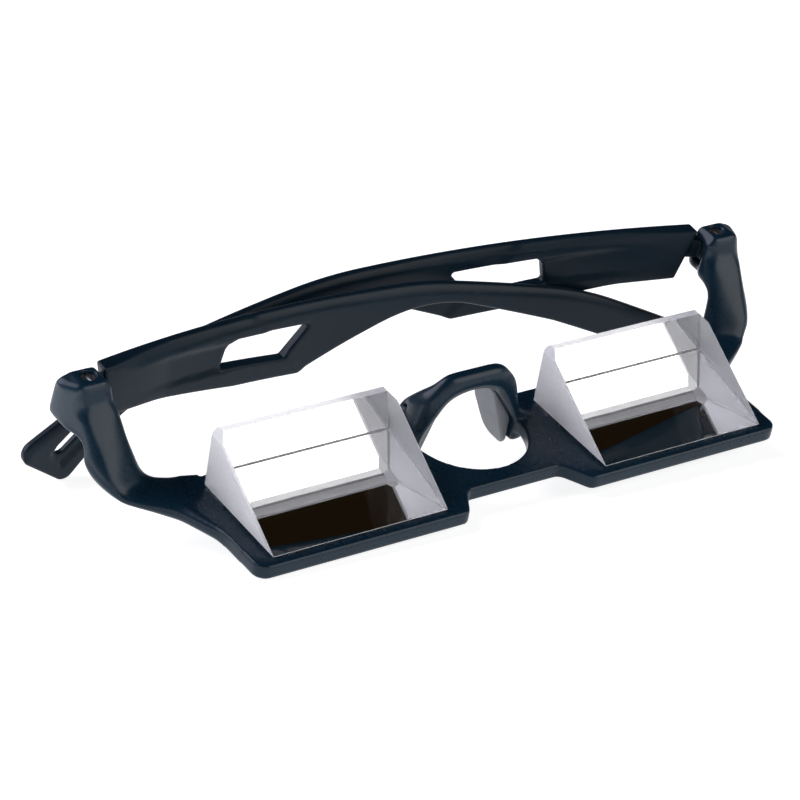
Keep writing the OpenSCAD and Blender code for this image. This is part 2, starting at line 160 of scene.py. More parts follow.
def evaluated(mesh, modifier, **settings):
    """The mesh after one modifier."""
    holder = bpy.data.objects.new("holder", mesh)
    bpy.context.scene.collection.objects.link(holder)
    step = holder.modifiers.new("step", modifier)
    for key, value in settings.items():
        setattr(step, key, value)
    made = bpy.data.meshes.new_from_object(holder.evaluated_get(bpy.context.evaluated_depsgraph_get()))
    bpy.data.objects.remove(holder)
    return made


def smoothstep(low, high, value):
    t = np.clip((value - low) / (high - low), 0, 1)
    return t * t * (3 - 2 * t)


def normals_of(mesh):
    out = np.empty(len(mesh.vertices) * 3, np.float32)
    mesh.vertex_normals.foreach_get("vector", out)
    return out.reshape(-1, 3).astype(float)


def outward(mesh):
    bm = bmesh.new()
    bm.from_mesh(mesh)
    bmesh.ops.recalc_face_normals(bm, faces=bm.faces)
    bm.to_mesh(mesh)
    bm.free()
    return mesh


def publish(name, mesh, to_metres, materials, body, slot, replaced, smooth=True):
    """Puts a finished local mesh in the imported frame, on its body, in place of the node it replaces."""
    mesh.name = name
    mesh.transform(to_metres)
    if to_metres.determinant() < 0:
        mesh.flip_normals()
    for material in materials:
        mesh.materials.append(material)
    mesh.polygons.foreach_set("use_smooth", np.full(len(mesh.polygons), smooth))
    mesh.update()
    piece = bpy.data.objects.new(name, mesh)
    bpy.context.scene.collection.objects.link(piece)
    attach(piece, body)
    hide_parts(replaced)


# Materials

class Nodes:
    """A short hand for building one node material."""

    def __init__(self, name):
        self.material = bpy.data.materials.new(name)
        self.material.use_nodes = True
        self.tree = self.material.node_tree
        self.shader = self.tree.nodes["Principled BSDF"]
        self.place = self.add("ShaderNodeTexCoord").outputs["Object"]

    def add(self, kind, **settings):
        node = self.tree.nodes.new(kind)
        for key, value in settings.items():
            setattr(node, key, value)
        return node

    def link(self, out, into):
        self.tree.links.new(out, into)

    def noise(self, scale, detail=3.0, roughness=0.5):
        node = self.add("ShaderNodeTexNoise")
        node.inputs["Scale"].default_value = scale
        node.inputs["Detail"].default_value = detail
        node.inputs["Roughness"].default_value = roughness
        self.link(self.place, node.inputs["Vector"])
        return node.outputs["Fac"]

    def ramp(self, value, stops):
        node = self.add("ShaderNodeValToRGB")
        elements = node.color_ramp.elements
        while len(elements) < len(stops):
            elements.new(0.5)
        for element, (position, colour) in zip(elements, stops):
            element.position = position
            element.color = (*colour, 1)
        self.link(value, node.inputs["Fac"])
        return node.outputs["Color"]

    def spread(self, value, low, high):
        node = self.add("ShaderNodeMapRange")
        node.inputs["To Min"].default_value = low
        node.inputs["To Max"].default_value = high
        self.link(value, node.inputs["Value"])
        return node.outputs["Result"]

    def bump(self, height, strength, distance):
        node = self.add("ShaderNodeBump")
        node.inputs["Strength"].default_value = strength
        node.inputs["Distance"].default_value = distance
        self.link(height, node.inputs["Height"])
        return node.outputs["Normal"]

    def into(self, name, value):
        socket = self.shader.inputs[name]
        if isinstance(value, bpy.types.NodeSocket):
            self.link(value, socket)
        else:
            socket.default_value = value


def navy_plastic(name, dark, light, gloss, shine):
    """Satin moulded plastic with a fine spark-eroded grain."""
    n = Nodes(name)
    n.into("Base Color", n.ramp(n.noise(160, 4, 0.6), [(0.35, dark), (0.7, light)]))
    n.into("Roughness", n.spread(n.noise(900, 2), gloss - 0.02, gloss + 0.04))
    n.into("IOR", 1.5)
    n.into("Specular IOR Level", shine)
    n.into("Normal", n.bump(n.noise(5200, 2, 0.6), 0.05, 0.00002))
    return n.material


def pad_rubber():
    n = Nodes("pad_rubber")
    dark, light = (0.13, 0.14, 0.155), (0.17, 0.18, 0.195)
    n.into("Base Color", n.ramp(n.noise(300, 3), [(0.3, dark), (0.75, light)]))
    n.into("Roughness", n.spread(n.noise(1200), 0.5, 0.62))
    n.into("Subsurface Weight", 0.15)
    n.into("Subsurface Radius", (0.002, 0.002, 0.002))
    n.into("Normal", n.bump(n.noise(4000, 2), 0.1, 0.00003))
    return n.material


def polished_glass():
    """Clear optical glass. The faint change in gloss is the polishing."""
    n = Nodes("prism_polished")
    n.into("Base Color", (0.985, 0.99, 0.985, 1))
    n.into("Roughness", n.spread(n.noise(260, 2), 0.0, 0.012))
    n.into("IOR", 1.517)
    n.into("Transmission Weight", 1.0)
    return n.material


def ground_glass():
    """The ground ends, chamfers and top flat."""
    n = Nodes("prism_ground")
    dusty, clean = (0.86, 0.86, 0.89), (0.95, 0.95, 0.97)
    n.into("Base Color", n.ramp(n.noise(1500, 4, 0.7), [(0.3, dusty), (0.7, clean)]))
    n.into("Roughness", n.spread(n.noise(2500, 3), 0.5, 0.7))
    n.into("IOR", 1.517)
    n.into("Transmission Weight", 0.5)
    n.into("Normal", n.bump(n.noise(9000, 2, 0.7), 0.25, 0.00002))
    return n.material


def metal(name, tint, gloss, grain):
    n = Nodes(name)
    dark = tuple(c * 0.8 for c in tint)
    n.into("Base Color", n.ramp(n.noise(grain, 3), [(0.3, dark), (0.7, tint)]))
    n.into("Metallic", 1.0)
    n.into("Roughness", n.spread(n.noise(grain * 2, 2), gloss - 0.06, gloss + 0.08))
    n.into("Normal", n.bump(n.noise(grain * 3, 2), 0.1, 0.00002))
    return n.material


def bond_film():
    n = Nodes("adhesive_film")
    n.into("Base Color", n.ramp(n.noise(500, 3), [(0.3, (0.5, 0.5, 0.46)), (0.7, (0.6, 0.6, 0.56))]))
    n.into("Roughness", n.spread(n.noise(800), 0.2, 0.3))
    return n.material


FRAME_PLASTIC = navy_plastic("frame_plastic", (0.003, 0.014, 0.027), (0.004, 0.018, 0.033),
                             gloss=0.27, shine=0.24)
TEMPLE_PLASTIC = navy_plastic("temple_plastic", (0.003, 0.010, 0.018), (0.004, 0.013, 0.023),
                              gloss=0.33, shine=0.15)
PAD = pad_rubber()
POLISHED = polished_glass()
GROUND = ground_glass()
SILVERING = metal("silvering", (0.85, 0.86, 0.86), 0.1, 700)
ADHESIVE = bond_film()
STEEL = metal("screw_steel", (0.55, 0.55, 0.56), 0.32, 1500)
BRASS = metal("insert_brass", (0.72, 0.5, 0.22), 0.35, 1500)


# Front moulding

def front_moulding():
    """The CAD solid in small faces: sharp plate edges are eased, the lugs and the bridge flow more."""
    mesh = remeshed(node_copy("frame_front", WORN.inverted()), 0.2)
    side, depth, height = points_of(mesh).T
    side = np.abs(side)
    # zones, each 1 inside and 0 outside: the parts of the lugs that hold the hinges, the whole lugs,
    # their necks on the plate, their front ledges, the arch of the bridge and its legs
    hinge = np.hypot(side - HINGE.x, depth - HINGE.y)
    ears = smoothstep(4.2, 2.8, hinge) * smoothstep(6.4, 7.6, height)
    lug = smoothstep(51.0, 56.0, side) * smoothstep(6.0, 12.0, depth)
    neck = smoothstep(50.0, 54.0, side) * smoothstep(8.0, 12.0, depth) * smoothstep(9.0, 3.5, height)
    ledge = lug * smoothstep(-2.2, -3.0, depth - HINGE.y) * smoothstep(10.0, 12.0, height)
    ledge *= smoothstep(15.2, 14.4, height)
    bridge = smoothstep(0.3, 1.6, height) * smoothstep(17.0, 15.0, side)
    legs = smoothstep(14.5, 13.0, side) * smoothstep(13.5, 16.0, depth) * smoothstep(30.0, 26.0, depth)
    relax(mesh, 12)
    relax(mesh, 60, np.maximum(bridge * 0.8, legs * 0.4), keep_size=True)
    relax(mesh, 260, bridge * 0.9, keep_size=True)
    relax(mesh, 30, bridge * 0.8)
    relax(mesh, 60, lug * (1 - ears))
    relax(mesh, 120, ledge)
    relax(mesh, 150, neck)
    # the rounding took a little of the size, which is given back here
    swell = 0.15 * lug * (1 - ears) + 0.35 * neck + 0.12 * bridge
    co = points_of(mesh) + normals_of(mesh) * swell[:, None]
    for level in (0.0, PLATE_BOTTOM):
        even = (np.abs(co[:, 2] - level) < 0.05) & (side < PLATE_REACH)
        co[even, 2] = level
    set_points(mesh, co)
    mesh = evaluated(mesh, "DECIMATE", ratio=0.36, use_collapse_triangulate=True)
    facing = np.empty(len(mesh.polygons) * 3, np.float32)
    mesh.polygon_normals.foreach_get("vector", facing)
    curved = np.abs(facing[2::3]) < 0.99999
    publish("front_moulding", mesh, WORN, [FRAME_PLASTIC], BODY["front"], "frame_plastic", "frame_front",
            smooth=curved)


# Flat slabs with rounded edges

CORNER_STEPS = 10


def rounded(corners):
    """Corner points (u, v, radius) turned into an outline with rounded corners."""
    outline = []
    count = len(corners)
    for i, (u, v, radius) in enumerate(corners):
        corner = np.array((u, v))
        if radius == 0:
            outline.append(corner)
            continue
        before = np.array(corners[i - 1][:2]) - corner
        after = np.array(corners[(i + 1) % count][:2]) - corner
        before, after = before / np.linalg.norm(before), after / np.linalg.norm(after)
        half = math.acos(np.clip(before @ after, -1, 1)) / 2
        middle = (before + after) / np.linalg.norm(before + after)
        centre = corner + middle * radius / math.sin(half)
        start = corner + before * radius / math.tan(half) - centre
        turn = -math.copysign(math.pi - 2 * half, before[0] * after[1] - before[1] * after[0])
        for step in range(CORNER_STEPS + 1):
            t = turn * step / CORNER_STEPS
            outline.append(centre + (start[0] * math.cos(t) - start[1] * math.sin(t),
                                     start[0] * math.sin(t) + start[1] * math.cos(t)))
    return np.array(outline)


def evenly(loop, step):
    """A closed outline with extra points on its long sides."""
    made = []
    for a, b in zip(loop, np.roll(loop, -1, axis=0)):
        parts = max(1, math.ceil(np.linalg.norm(b - a) / step))
        made.extend(a + (b - a) * i / parts for i in range(parts))
    return np.array(made)


def distance_to(points, starts, ends):
    """Distance from each point to the nearest of some segments."""
    along = ends - starts
    length = (along ** 2).sum(1).clip(1e-12)
    nearest = []
    for block in np.array_split(points, max(1, len(points) // 1500)):
        offset = block[:, None] - starts[None]
        t = np.clip((offset * along).sum(2) / length, 0, 1)
        nearest.append(np.sqrt(((offset - t[..., None] * along) ** 2).sum(2)).min(1))
    return np.concatenate(nearest)


def inside(points, starts, ends):
    """Which points lie between an outer outline and its holes."""
    answer = []
    for block in np.array_split(points, max(1, len(points) // 3000)):
        u, v = block[:, None, 0], block[:, None, 1]
        spans = (starts[:, 1] > v) != (ends[:, 1] > v)
        rise = np.where(starts[:, 1] == ends[:, 1], 1, ends[:, 1] - starts[:, 1])
        cross = starts[:, 0] + (v - starts[:, 1]) * (ends[:, 0] - starts[:, 0]) / rise
        answer.append(((spans & (u < cross)).sum(1) % 2) == 1)
    return np.concatenate(answer)


def slab(loops, radius, step, grid, low, high, axes):
    """A solid over an outline with holes, between two height fields, with rounded edges all round."""
    loops = [evenly(loop, step) for loop in loops]
    starts = np.concatenate(loops)
    ends = np.concatenate([np.roll(loop, -1, axis=0) for loop in loops])
    rings = [radius * (1 - math.cos(math.radians(angle))) for angle in (22, 44, 66, 90)]
    extra = []
    for loop in loops:
        along = np.roll(loop, -1, axis=0) - np.roll(loop, 1, axis=0)
        along /= np.linalg.norm(along, axis=1)[:, None]
        normal = np.stack((-along[:, 1], along[:, 0]), 1)
        probe = inside(loop + normal * 0.01, starts, ends)
        normal[~probe] *= -1
        for inset in rings:
            ring = loop + normal * inset
            extra.append(ring[distance_to(ring, starts, ends) > inset * 0.98])
    lowest, highest = starts.min(0), starts.max(0)
    columns, rows = np.arange(lowest[0], highest[0], grid), np.arange(lowest[1], highest[1], grid * 0.87)
    u, v = np.meshgrid(columns, rows)
    u = u + (np.arange(len(v)) % 2)[:, None] * grid / 2
    field = np.stack((u.ravel(), v.ravel()), 1)
    field = field[inside(field, starts, ends)]
    extra.append(field[distance_to(field, starts, ends) > radius + grid * 0.45])
    flat = np.concatenate([starts] + extra)
    borders, first = [], 0
    for loop in loops:
        borders.append(list(range(first, first + len(loop))))
        first += len(loop)
    sides = [(a, b) for border in borders for a, b in zip(border, border[1:] + border[:1])]
    made, _, faces, origin, _, _ = delaunay_2d_cdt([Vector(p) for p in flat], sides, [], 0, 1e-5, True)
    made = np.array([tuple(p) for p in made])
    renamed = {old: new for new, olds in enumerate(origin) for old in olds}
    faces = np.array([f for f in faces if len(f) == 3])
    faces = faces[inside(made[faces].mean(1), starts, ends)]
    borders = [[renamed[i] for i in border] for border in borders]
    rim = [(a, b) for border in borders for a, b in zip(border, border[1:] + border[:1]) if a != b]

    def named(pairs):
        return pairs.min(-1) * len(made) + pairs.max(-1)

    # a sliver outside a straight side of the outline has an edge that no other face shares
    outer = np.ones(1, bool)
    while outer.any():
        face_edges = named(np.stack((faces, np.roll(faces, -1, axis=1)), -1))
        _, place, uses = np.unique(face_edges, return_inverse=True, return_counts=True)
        alone = (uses[place].reshape(face_edges.shape) == 1) & ~np.isin(face_edges, named(np.array(rim)))
        outer = alone.any(1)
        faces = faces[~outer]
    depth = distance_to(made, starts, ends)
    drop = radius - np.sqrt(np.clip(radius ** 2 - np.clip(radius - depth, 0, radius) ** 2, 0, None))
    count = len(made)
    points = np.empty((2 * count, 3))
    for half, level in ((0, low(made) + drop), (count, high(made) - drop)):
        for axis, column in zip(axes, (made[:, 0], made[:, 1], level)):
            points[half:half + count, axis] = column
    polygons = [tuple(f) for f in faces] + [tuple(f[::-1] + count) for f in faces]
    polygons += [(a, b, b + count, a + count) for a, b in rim]
    mesh = bpy.data.meshes.new("slab")
    mesh.from_pydata(points.tolist(), [], [tuple(int(i) for i in f) for f in polygons])
    bm = bmesh.new()
    bm.from_mesh(mesh)
    bmesh.ops.delete(bm, geom=[p for p in bm.verts if not p.link_faces], context="VERTS")
    bmesh.ops.recalc_face_normals(bm, faces=bm.faces)
    bm.to_mesh(mesh)
    bm.free()
    return mesh


# Temples, drawn pointing straight back from the hinge axis, with the inner side towards -X

# an arm is an arc that gets thinner from its root to its tip
ARM_L, ARM_BOW, ARM_ROOT_T, ARM_TIP_T, ARM_TOP = 129.5, 9.2, 2.3, 1.8, 15.2
ARM_R = (ARM_L ** 2 / 4 + ARM_BOW ** 2) / (2 * ARM_BOW)
ARM_T = (ARM_ROOT_T + ARM_TIP_T) / 2
ARM_TAPER = (ARM_ROOT_T - ARM_TIP_T) * ARM_R / ARM_L

# its inner face starts with a straight stretch: where that starts, how far it runs and where it ends
ARM_END, STRAIGHT_RUN, STRAIGHT_END = 3.2, 17.8, 20
BELLY_BOTTOM, WAIST_TOP, HUMP, PADDLE_LOW = -1.0, 10.8, 5.9, -16.1

# corners of the side view: distance from the hinge, height and corner radius
ARM_CORNERS = [
    (ARM_END, ARM_TOP, 0.4),
    (ARM_L * 0.55, WAIST_TOP, 90),
    (ARM_L * 0.8, 4.005, 70),
    (ARM_L + 0.6, -7.622, 2),
    (ARM_L - 10, PADDLE_LOW, 2.2),
    (ARM_L * 0.845, HUMP - 11.9, 12),
    (ARM_L * 0.755, HUMP - 6.9, 40),
    (ARM_L * 0.55, HUMP + 2.4, 28),
    (ARM_L * 0.36 - 0.7, BELLY_BOTTOM + 0.2, 1.4),
    (ARM_L * 0.25, BELLY_BOTTOM + 1.8, 14),
    (ARM_L * 0.12, ARM_TOP - 11.0, 20),
    (ARM_END + 2.5, ARM_TOP - 9.8, 0.6)]
UPPER_EDGE_CORNERS = 4

WINDOW_Y, WINDOW_Z, WINDOW_L, WINDOW_H, WINDOW_SLOPE = 29.2, BELLY_BOTTOM + 6.2, 13.4, 5.4, 0.155
WINDOW_CORNERS = [
    (WINDOW_Y, WINDOW_Z, 0.5),
    (WINDOW_Y + WINDOW_L, WINDOW_Z - WINDOW_SLOPE * WINDOW_L, 0.7),
    (WINDOW_Y + WINDOW_L + 5, WINDOW_Z - WINDOW_SLOPE * WINDOW_L + WINDOW_H, 0.5),
    (WINDOW_Y + 2.2, WINDOW_Z + WINDOW_H - 0.5, 0.8),
    (WINDOW_Y + 0.8, WINDOW_Z + WINDOW_H - 2, 0.8)]

CORD_SLOT = (ARM_L - 10.9, PADDLE_LOW + 8.9)
CORD_TURN, CORD_L, CORD_W = math.radians(-38), 8.0, 2.4
CORD_STEPS = 12

# the hinge eye and the web that roots it in the arm
TONGUE_BOTTOM, TONGUE_H, TONGUE_PLAY, EYE_R, EYE_BORE = 9.25, 4.1, 0.17, 2.36, 0.85
WEB_ANGLE, WEB_ROOT = math.radians(76.9), 6.6


def arm_arc(y):
    return np.sqrt(ARM_R ** 2 - (y - ARM_L / 2) ** 2) - (ARM_R - ARM_BOW)


def arm_inner(y):
    arc = arm_arc(y)
    straight = 0.2 + (y - (ARM_END - 1)) * (arm_arc(STRAIGHT_END) - 0.05) / STRAIGHT_RUN
    return np.where(y < STRAIGHT_END, np.minimum(arc, straight), arc)


def arm_outer(y):
    return ARM_BOW - ARM_R + np.sqrt((ARM_R + ARM_T) ** 2 - (y - ARM_L / 2 + ARM_TAPER) ** 2)


def turned(angle):
    return np.array(((math.cos(angle), -math.sin(angle)), (math.sin(angle), math.cos(angle))))


def arc_points(radius, angles):
    return [(radius * math.cos(t), radius * math.sin(t)) for t in angles]


def cord_slot_outline():
    straight, radius = (CORD_L - CORD_W) / 2, CORD_W / 2
    points = []
    for way in (1, -1):
        for step in range(CORD_STEPS + 1):
            t = math.pi * (step / CORD_STEPS - 0.5)
            points.append((way * (straight + radius * math.cos(t)), way * radius * math.sin(t)))
    return np.array(points) @ turned(CORD_TURN).T + CORD_SLOT


def arm_mesh():
    outline = rounded(ARM_CORNERS)
    # the upper edge runs from the middle of its first rounded corner to the middle of its last
    half_corner = CORNER_STEPS // 2
    last_corner = (UPPER_EDGE_CORNERS - 1) * (CORNER_STEPS + 1)
    upper = outline[half_corner - 1:last_corner + half_corner]

    def ramp(value, soft):
        return (value + np.sqrt(value ** 2 + soft)) / 2

    def high(p):
        return arm_outer(p[:, 0])

    def low(p):
        y, z = p[:, 0], p[:, 1]
        from_top = distance_to(p, upper[:-1], upper[1:])
        # a broad slope under the upper edge, which starts out of nothing behind the hinge
        width = 0.2 + 2.0 * smoothstep(3.4, 12, y) - 0.9 * smoothstep(13, 32, y)
        depth = 0.85 * smoothstep(4, 15, y) - 0.4 * smoothstep(85, 120, y)
        slope = depth * np.clip(ramp(1 - from_top / width, 0.008), 0, 1)
        # a shallow channel that runs into the window
        upper_line = 12.6 - 0.135 * (y - 10)
        lower_line = WINDOW_Z - 0.2 + 0.1 * (WINDOW_Y - y)
        channel = (0.42 * smoothstep(9, 27, y) * smoothstep(WINDOW_Y + 7, WINDOW_Y + 1, y)
                   * smoothstep(-0.2, 0.5, upper_line - z) * smoothstep(-0.35, 0.2, z - lower_line))
        # a fold from the window's lower corner down to the belly
        past = y - (43.6 + 0.9 * (3.2 - z))
        fold = 0.3 * smoothstep(-0.6, 1.6, past) * smoothstep(26, 8, past)
        # a pocket round the lower side of the cord slot
        dy, dz = y - CORD_SLOT[0], z - CORD_SLOT[1]
        along = dy * math.cos(CORD_TURN) + dz * math.sin(CORD_TURN)
        across = -dy * math.sin(CORD_TURN) + dz * math.cos(CORD_TURN)
        pocket = (0.55 * smoothstep(4.9, 4.5, np.abs(along)) * smoothstep(-3.2, -2.9, across)
                  * smoothstep(1.1, 0.8, across))
        return arm_inner(y) + slope + channel + fold + pocket

    loops = [outline, rounded(WINDOW_CORNERS), cord_slot_outline()]
    return slab(loops, radius=0.4, step=0.36, grid=0.6, low=low, high=high, axes=(1, 2, 0))


def tongue_mesh():
    """The hinge eye and its web, rooted in the arm."""
    eye = arc_points(EYE_R, np.linspace(WEB_ANGLE, 2 * math.pi, 60))
    web = [(arm_outer(WEB_ROOT) - 0.7, WEB_ROOT),
           (arm_inner(WEB_ROOT) + 0.7, WEB_ROOT),
           (arm_inner(ARM_END + 0.1) + 0.5, ARM_END + 0.1)]
    bore = arc_points(EYE_BORE, np.linspace(0, 2 * math.pi, 36, endpoint=False))

    def low(p):
        return np.full(len(p), TONGUE_BOTTOM + TONGUE_PLAY)

    def high(p):
        return np.full(len(p), TONGUE_BOTTOM + TONGUE_H - TONGUE_PLAY)

    loops = [np.array(eye + web, float), np.array(bore)]
    return slab(loops, radius=0.4, step=0.35, grid=0.6, low=low, high=high, axes=(0, 1, 2))


def temple(side):
    other = bpy.data.objects.new("tongue", tongue_mesh())
    bpy.context.scene.collection.objects.link(other)
    mesh = evaluated(arm_mesh(), "BOOLEAN", operation="UNION", solver="EXACT", object=other)
    bpy.data.objects.remove(other)
    publish("temple_arm_" + side, mesh, unfolded_frame(side), [TEMPLE_PLASTIC], BODY[side],
            "temple_plastic", "temple_" + side)


# Prisms

def cut_flat(bm, point, normal, material_index):
    """Grinds away what lies beyond a plane and closes the cut with one face."""
    everything = bm.verts[:] + bm.edges[:] + bm.faces[:]
    cut = bmesh.ops.bisect_plane(bm, geom=everything, plane_co=point, plane_no=normal, clear_outer=True)
    rim = [e for e in cut["geom_cut"] if isinstance(e, bmesh.types.BMEdge)]
    if rim:
        for face in bmesh.ops.contextual_create(bm, geom=rim)["faces"]:
            face.material_index = material_index


def prism_mesh(way_out):
    """A block cut down by its polished faces first and its ground faces after."""
    polished, ground = 0, 1
    # a chamfer's width, and how far its plane lies inside the sharp edge for each millimetre of width
    chamfer, inwards = 0.3, 0.7
    middle, half = way_out * PRISM_MIDDLE_X, PRISM_LENGTH / 2
    bottom, top, back = PRISM_SEAT + 0.004, PRISM_SEAT + PRISM_TOP, PRISM_DEPTH
    slant_normal = Vector((0, -math.sin(PRISM_SLANT), math.cos(PRISM_SLANT)))
    bm = bmesh.new()
    # a block that is larger than everything
    bmesh.ops.create_cube(bm, size=160)
    faces = [((0, 0, bottom), Vector((0, 0, -1))),
             ((0, back, 0), Vector((0, 1, 0))),
             ((0, 0, PRISM_SEAT), slant_normal)]
    for point, normal in faces:
        cut_flat(bm, point, normal, polished)
    ends = [((middle + way * half, 0, 0), Vector((way, 0, 0))) for way in (-1, 1)]
    land = ((0, 0, top), Vector((0, 0, 1)))
    for point, normal in ends + [land]:
        cut_flat(bm, point, normal, ground)
    # chamfers: the back edges, then the ends all round, then the two top corners
    for edge_point, normal in [((0, back, bottom), (0, 1, -1)), ((0, back, top), (0, 1, 1)),
                               ((0, 0.0, bottom), (0, -1, 0))]:
        normal = Vector(normal).normalized()
        cut_flat(bm, Vector(edge_point) - normal * chamfer * inwards, normal, ground)
    for way in (-1, 1):
        end = Vector((middle + way * half, 0, 0))
        for point, normal in faces:
            tilt = (normal + Vector((way, 0, 0))).normalized()
            corner = Vector((end.x, point[1], point[2]))
            cut_flat(bm, corner - tilt * chamfer * inwards, tilt, ground)
        tilt = Vector((way, 0, 1)).normalized()
        cut_flat(bm, Vector((end.x, back, top)) - tilt * PRISM_CORNER * math.sqrt(0.5), tilt, ground)
    mesh = bpy.data.meshes.new("prism")
    bm.to_mesh(mesh)
    bm.free()
    return outward(mesh)


def prism(side, way_out):
    publish("prism_block_" + side, prism_mesh(way_out), WORN, [POLISHED, GROUND], BODY["front"],
            "prism_glass", "prism_" + side, smooth=False)


# Nose pads

def nose_pad(side):
    mesh = remeshed(node_copy("nose_pad_" + side, WORN.inverted()), 0.16)
    relax(mesh, 8)
    publish("soft_pad_" + side, mesh, WORN, [PAD], BODY["front"], "pad_rubber", "nose_pad_" + side)


# Hinge screws and thread inserts, grown by node trees about the hinge axis

class Shape:
    """A short hand for one node tree that makes a mesh from named sizes."""

    def __init__(self, name, sizes):
        self.tree = bpy.data.node_groups.new(name, "GeometryNodeTree")
        self.tree.interface.new_socket("Geometry", in_out="OUTPUT", socket_type="NodeSocketGeometry")
        for size in sizes:
            self.tree.interface.new_socket(size, in_out="INPUT", socket_type="NodeSocketFloat")
        self.sizes = sizes
        self.size = self.tree.nodes.new("NodeGroupInput").outputs
        position = self.add("GeometryNodeInputPosition").outputs[0]
        place = self.add("ShaderNodeSeparateXYZ", {"Vector": position}).outputs
        self.x, self.y, self.z = place["X"], place["Y"], place["Z"]

    def add(self, kind, inputs=(), **settings):
        node = self.tree.nodes.new(kind)
        for key, value in settings.items():
            setattr(node, key, value)
        for key, value in dict(inputs).items():
            if isinstance(value, bpy.types.NodeSocket):
                self.tree.links.new(value, node.inputs[key])
            else:
                node.inputs[key].default_value = value
        return node

    def calc(self, operation, *values):
        return self.add("ShaderNodeMath", enumerate(values), operation=operation).outputs[0]

    def turned_rod(self, radius, height, sides, rows):
        """A rod on Z whose radius is a field."""
        rod = self.add("GeometryNodeMeshCylinder", {
            "Vertices": sides, "Side Segments": rows, "Radius": 1.0, "Depth": height}).outputs["Mesh"]
        place = self.add("ShaderNodeCombineXYZ", {
            "X": self.calc("MULTIPLY", self.x, radius),
            "Y": self.calc("MULTIPLY", self.y, radius),
            "Z": self.z}).outputs[0]
        return self.add("GeometryNodeSetPosition", {"Geometry": rod, "Position": place}).outputs[0]

    def cut(self, solid, tool):
        node = self.add("GeometryNodeMeshBoolean", operation="DIFFERENCE", solver="EXACT")
        self.tree.links.new(solid, node.inputs["Mesh 1"])
        self.tree.links.new(tool, node.inputs["Mesh 2"])
        return node.outputs["Mesh"]

    def mesh(self, solid, material):
        """Ends the tree, runs it with its sizes and gives the plain mesh."""
        real = self.add("GeometryNodeRealizeInstances", {"Geometry": solid}).outputs[0]
        coated = self.add("GeometryNodeSetMaterial", {"Geometry": real, "Material": material}).outputs[0]
        self.tree.links.new(coated, self.tree.nodes.new("NodeGroupOutput").inputs[0])
        holder = bpy.data.objects.new("holder", bpy.data.meshes.new("seed"))
        bpy.context.scene.collection.objects.link(holder)
        grower = holder.modifiers.new("grower", "NODES")
        grower.node_group = self.tree
        for item in self.tree.interface.items_tree:
            if item.in_out == "INPUT":
                grower[item.identifier] = float(self.sizes[item.name])
        made = bpy.data.meshes.new_from_object(holder.evaluated_get(bpy.context.evaluated_depsgraph_get()))
        holder.modifiers.remove(grower)
        bpy.data.objects.remove(holder)
        made.materials.clear()
        return made


def helix_phase(shape, height, pitch, starts):
    """Rises by one for each pitch along Z, and by the number of starts for each turn."""
    turn = shape.calc("MULTIPLY", shape.calc("ARCTAN2", shape.y, shape.x), starts / (2 * math.pi))
    return shape.calc("SUBTRACT", shape.calc("DIVIDE", height, pitch), turn)


def screw_mesh():
    """A slotted screw: a rod with a thread at its tip and a bevelled head, and a slot cut across."""
    shape = Shape("slotted_screw", {
        "Length": 6.95, "Shank Diameter": 1.6, "Head Diameter": 2.6, "Head Height": 0.8, "Bevel": 0.12,
        "Slot Width": 0.42, "Slot Depth": 0.4,
        "Thread Pitch": 0.35, "Thread Depth": 0.13, "Thread Length": 1.5})
    size, calc = shape.size, shape.calc
    height = calc("ADD", shape.z, calc("DIVIDE", size["Length"], 2.0))
    groove = calc("PINGPONG", helix_phase(shape, height, size["Thread Pitch"], 1), 0.5)
    groove = calc("MULTIPLY", calc("MULTIPLY", groove, 2.0), size["Thread Depth"])
    groove = calc("MULTIPLY", groove, calc("LESS_THAN", height, size["Thread Length"]))
    shank = calc("SUBTRACT", calc("DIVIDE", size["Shank Diameter"], 2.0), groove)
    in_head = calc("GREATER_THAN", height, calc("SUBTRACT", size["Length"], size["Head Height"]))
    wider = calc("SUBTRACT", calc("DIVIDE", size["Head Diameter"], 2.0), shank)
    radius = calc("ADD", shank, calc("MULTIPLY", in_head, wider))
    above = calc("SUBTRACT", height, calc("SUBTRACT", size["Length"], size["Bevel"]))
    below = calc("SUBTRACT", size["Bevel"], height)
    radius = calc("SUBTRACT", radius, calc("MAXIMUM", calc("MAXIMUM", above, below), 0.0))
    rod = shape.turned_rod(radius, size["Length"], sides=48, rows=139)
    across = shape.add("ShaderNodeCombineXYZ", {
        "X": size["Slot Width"], "Y": calc("MULTIPLY", size["Head Diameter"], 1.2),
        "Z": calc("MULTIPLY", size["Slot Depth"], 2.0)}).outputs[0]
    middle = shape.add("ShaderNodeCombineXYZ", {"Z": calc("DIVIDE", size["Length"], 2.0)}).outputs[0]
    block = shape.add("GeometryNodeMeshCube", {"Size": across}).outputs["Mesh"]
    block = shape.add("GeometryNodeTransform", {"Geometry": block, "Translation": middle}).outputs[0]
    return shape.mesh(shape.cut(rod, block), STEEL)


